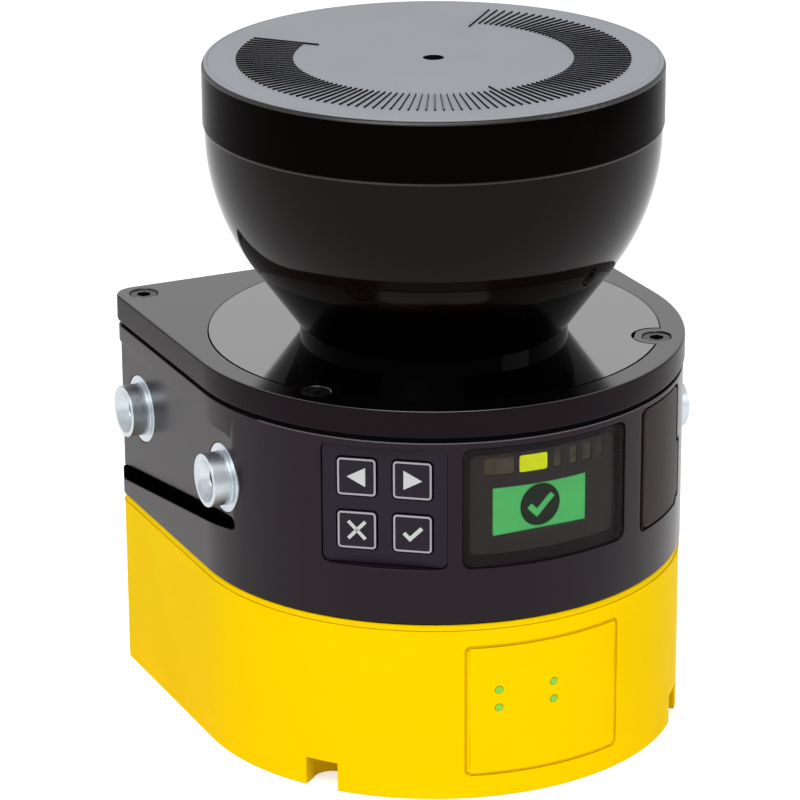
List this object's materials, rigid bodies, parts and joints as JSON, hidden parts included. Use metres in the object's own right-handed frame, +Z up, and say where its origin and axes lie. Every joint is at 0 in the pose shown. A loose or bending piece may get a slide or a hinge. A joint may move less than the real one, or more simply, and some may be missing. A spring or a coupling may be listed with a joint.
{
  "type": "safety laser scanner",
  "caption": "D-shaped yellow and black safety laser scanner with a round optics hood, keypad, status display, service port flap and side mounting bushes.",
  "frame": {"origin": "scan axis at the underside of the base", "axes": "+Z up along the scan axis, -Y to the front with the display, +X to the right seen from the front"},
  "size_m": [0.1162, 0.1102, 0.1507],
  "materials": {
    "yellow_plastic": "satin moulded",
    "dark_plastic": "satin moulded",
    "hood_plastic": "glossy infrared-passing",
    "scale_grey": "flat satin",
    "keypad_dark": "smooth foil",
    "key_dark": "smooth foil",
    "window_smoke": "clear smoked",
    "display_mask": "matt",
    "lcd_green": "backlit",
    "led_lit": "lit",
    "led_dim": "unlit",
    "green_guide": "clear green",
    "seal_rubber": "matt",
    "bush_metal": "turned",
    "zinc_steel": "zinc plated",
    "black_steel": "blackened",
    "nickel_brass": "nickel plated",
    "connector_plastic": "matt",
    "circuit_board": "solder resist",
    "chassis_cast": "die cast",
    "motor_can": "satin",
    "bearing_steel": "ground",
    "carrier_plastic": "matt",
    "mirror_glass": "first-surface mirror",
    "encoder_steel": "etched sheet",
    "lens_glass": "polished",
    "laser_brass": "turned"
  },
  "bodies": {
    "body": {"base_housing": "yellow_plastic", "base_screws": "zinc_steel", "base_seal": "seal_rubber", "power_connector": "nickel_brass", "network_connectors": "nickel_brass", "network_leds": "green_guide", "base_board": "circuit_board", "system_connector": "connector_plastic", "main_housing": "dark_plastic", "side_bushes_left": "bush_metal", "side_bushes_right": "bush_metal", "side_strips": "seal_rubber", "lid_gasket": "seal_rubber", "lid_frame": "dark_plastic", "lid_screws": "black_steel", "optics_cover": "hood_plastic", "hood_cap": "hood_plastic", "scale_disc": "scale_grey", "keypad_panel": "keypad_dark", "switch_board": "circuit_board", "display_window": "window_smoke", "display_mask": "display_mask", "display_lcd": "lcd_green", "ready_led": "led_lit", "status_leds": "led_dim", "usb_socket": "bush_metal", "main_board": "circuit_board", "optics_chassis": "chassis_cast", "motor_stator": "motor_can", "bearings": "bearing_steel", "encoder_sensor": "connector_plastic", "receiver_tube": "carrier_plastic", "receiver_lens": "lens_glass", "laser_module": "laser_brass"},
    "rotor": {"motor_shaft": "bearing_steel", "mirror_carrier": "carrier_plastic", "scan_mirror": "mirror_glass", "encoder_disc": "encoder_steel"},
    "key_left": {"key_left": "key_dark"},
    "key_right": {"key_right": "key_dark"},
    "key_cancel": {"key_cancel": "key_dark"},
    "key_confirm": {"key_confirm": "key_dark"},
    "usb_cap": {"usb_cap": "dark_plastic"}
  },
  "joints": [
    {"name": "mirror_spin", "type": "hinge", "parent": "body", "child": "rotor", "pos_m": [0, 0, 0.08], "axis": [0, 0, 1], "continuous": true},
    {"name": "key_left_press", "type": "slide", "parent": "body", "child": "key_left", "axis": [0.599, 0.8007, 0], "range_m": [0, 0.0004], "stiffness_N_per_m": 3000, "springref_m": -0.0002},
    {"name": "key_right_press", "type": "slide", "parent": "body", "child": "key_right", "axis": [0.599, 0.8007, 0], "range_m": [0, 0.0004], "stiffness_N_per_m": 3000, "springref_m": -0.0002},
    {"name": "key_cancel_press", "type": "slide", "parent": "body", "child": "key_cancel", "axis": [0.599, 0.8007, 0], "range_m": [0, 0.0004], "stiffness_N_per_m": 3000, "springref_m": -0.0002},
    {"name": "key_confirm_press", "type": "slide", "parent": "body", "child": "key_confirm", "axis": [0.599, 0.8007, 0], "range_m": [0, 0.0004], "stiffness_N_per_m": 3000, "springref_m": -0.0002},
    {"name": "usb_cap_swing", "type": "hinge", "parent": "body", "child": "usb_cap", "pos_m": [0.02735, -0.04638, 0.068], "axis": [0, 0, -1], "range_deg": [0, 95]}
  ]
}
